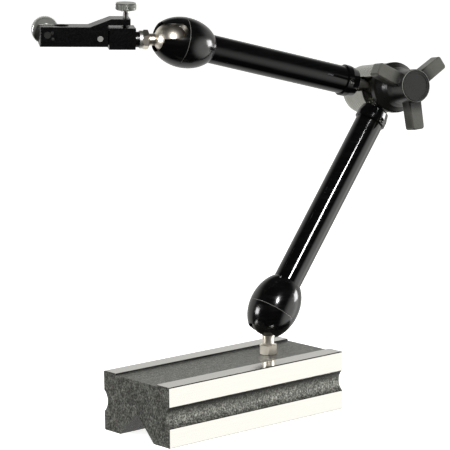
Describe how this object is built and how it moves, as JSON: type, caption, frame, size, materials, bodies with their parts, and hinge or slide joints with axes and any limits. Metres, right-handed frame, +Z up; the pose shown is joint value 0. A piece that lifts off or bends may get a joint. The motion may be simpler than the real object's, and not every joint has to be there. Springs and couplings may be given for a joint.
{
  "type": "articulated indicator holder on prism guide base",
  "caption": "Articulated measuring arm: heavy prism guide base, two black tubes with ball sockets, one-knob elbow clamp and a fine-adjust holder for a dial indicator stem.",
  "frame": {"origin": "centre of the base block's footprint on the resting plane, in the middle of the vee groove's mouth", "axes": "+Z up, +X along the base block towards the ball stud, -Y towards the long side on which the clamping knob stands"},
  "size_m": [0.2096, 0.1234, 0.2292],
  "materials": {
    "block_steel": "ground rails and sides, the ends, vee, grooves and top recess in dark speckled hammer paint",
    "nickel": "satin nickel plate",
    "arm_black": "gloss black enamel",
    "housing_grey": "smooth satin grey finish",
    "steel_dark": "blackened steel",
    "steel_bright": "bright turned steel",
    "bronze": "plain bronze",
    "knob_plastic": "fine moulded texture, dark grey",
    "holder_black": "satin black oxide",
    "gunmetal": "knurled, gunmetal grey"
  },
  "bodies": {
    "base": {"base_block": "block_steel"},
    "lower_stud": {"lower_ball_stud": "nickel"},
    "lower_arm": {"lower_socket_front": "arm_black", "lower_socket_rear": "arm_black", "lower_tube": "arm_black", "lower_collar": "arm_black", "lower_set_screw": "steel_dark", "lower_hinge_eye": "arm_black", "thrust_washer": "steel_dark"},
    "lower_rod": {"lower_pressure_cup": "bronze", "lower_push_rod": "steel_bright"},
    "spindle": {"clamp_spindle": "steel_bright"},
    "knob": {"knob_body": "knob_plastic", "knob_insert": "bronze", "knob_cap": "knob_plastic"},
    "upper_arm": {"upper_hinge_eye": "arm_black", "friction_washer": "bronze", "elbow_housing": "housing_grey", "elbow_shield": "housing_grey", "upper_collar": "arm_black", "upper_set_screw": "steel_dark", "upper_tube": "arm_black", "upper_socket_rear": "arm_black", "upper_socket_front": "arm_black"},
    "upper_rod": {"upper_pressure_cup": "bronze", "upper_push_rod": "steel_bright"},
    "upper_stud": {"upper_ball_stud": "nickel"},
    "holder": {"stud_washer": "steel_bright", "holder_block": "holder_black", "pivot_pin": "steel_bright"},
    "lever": {"adjust_lever": "holder_black", "lever_screws": "steel_dark"},
    "fine_screw": {"fine_screw_head": "gunmetal", "fine_screw_stem": "steel_dark"},
    "stem_clamp": {"stem_clamp_knob": "gunmetal", "stem_clamp_screw": "steel_dark"}
  },
  "joints": [
    {"name": "lower_swivel", "type": "hinge", "parent": "base", "child": "lower_stud", "pos_m": [0.032, 0, 0.0519], "axis": [0, 0, 1], "continuous": true},
    {"name": "lower_tilt", "type": "hinge", "parent": "lower_stud", "child": "lower_arm", "pos_m": [0.032, 0, 0.0519], "axis": [0.0373, 0.9993, 0], "range_deg": [-62, 43]},
    {"name": "lower_rod_slide", "type": "slide", "parent": "lower_arm", "child": "lower_rod", "axis": [0.5924, -0.0221, 0.8053], "range_m": [0, 0.0003]},
    {"name": "spindle_slide", "type": "slide", "parent": "lower_arm", "child": "spindle", "axis": [-0.2113, -0.9689, 0.1288], "range_m": [-0.0005, 0]},
    {"name": "knob_turn", "type": "hinge", "parent": "lower_arm", "child": "knob", "pos_m": [0.12187, -0.00336, 0.17407], "axis": [-0.2113, -0.9689, 0.1288], "range_deg": [0, 180]},
    {"name": "elbow_hinge", "type": "hinge", "parent": "lower_arm", "child": "upper_arm", "pos_m": [0.12187, -0.00336, 0.17407], "axis": [-0.2113, -0.9689, 0.1288], "range_deg": [-110, 4]},
    {"name": "upper_rod_slide", "type": "slide", "parent": "upper_arm", "child": "upper_rod", "axis": [0.9371, -0.2382, -0.255], "range_m": [0, 0.0003]},
    {"name": "upper_tilt", "type": "hinge", "parent": "upper_arm", "child": "upper_stud", "pos_m": [-0.00436, 0.03691, 0.20784], "axis": [0.332, 0.384, 0.8616], "range_deg": [-4, 100]},
    {"name": "holder_spin", "type": "hinge", "parent": "upper_stud", "child": "holder", "pos_m": [-0.00436, 0.03691, 0.20784], "axis": [-0.8532, 0.5208, 0.0297], "continuous": true},
    {"name": "lever_pivot", "type": "hinge", "parent": "holder", "child": "lever", "pos_m": [-0.03808, 0.05738, 0.21021], "axis": [0.5212, 0.849, 0.0871], "range_deg": [-2.5, 4.5]},
    {"name": "fine_screw_turn", "type": "hinge", "parent": "lever", "child": "fine_screw", "pos_m": [-0.02606, 0.04914, 0.21855], "axis": [-0.0202, -0.0898, 0.9958], "range_deg": [-360, 720]},
    {"name": "stem_clamp_turn", "type": "hinge", "parent": "lever", "child": "stem_clamp", "pos_m": [-0.05792, 0.07978, 0.21384], "axis": [0.5212, 0.849, 0.0871], "range_deg": [0, 360]}
  ],
  "couplings": [
    {"joint": "knob_turn", "follows": "spindle_slide", "rad_per_m": -6283.2},
    {"joint": "lower_rod_slide", "follows": "spindle_slide", "ratio": -0.6},
    {"joint": "upper_rod_slide", "follows": "spindle_slide", "ratio": -0.6},
    {"joint": "lever_pivot", "follows": "fine_screw_turn", "ratio": 0.0055}
  ]
}
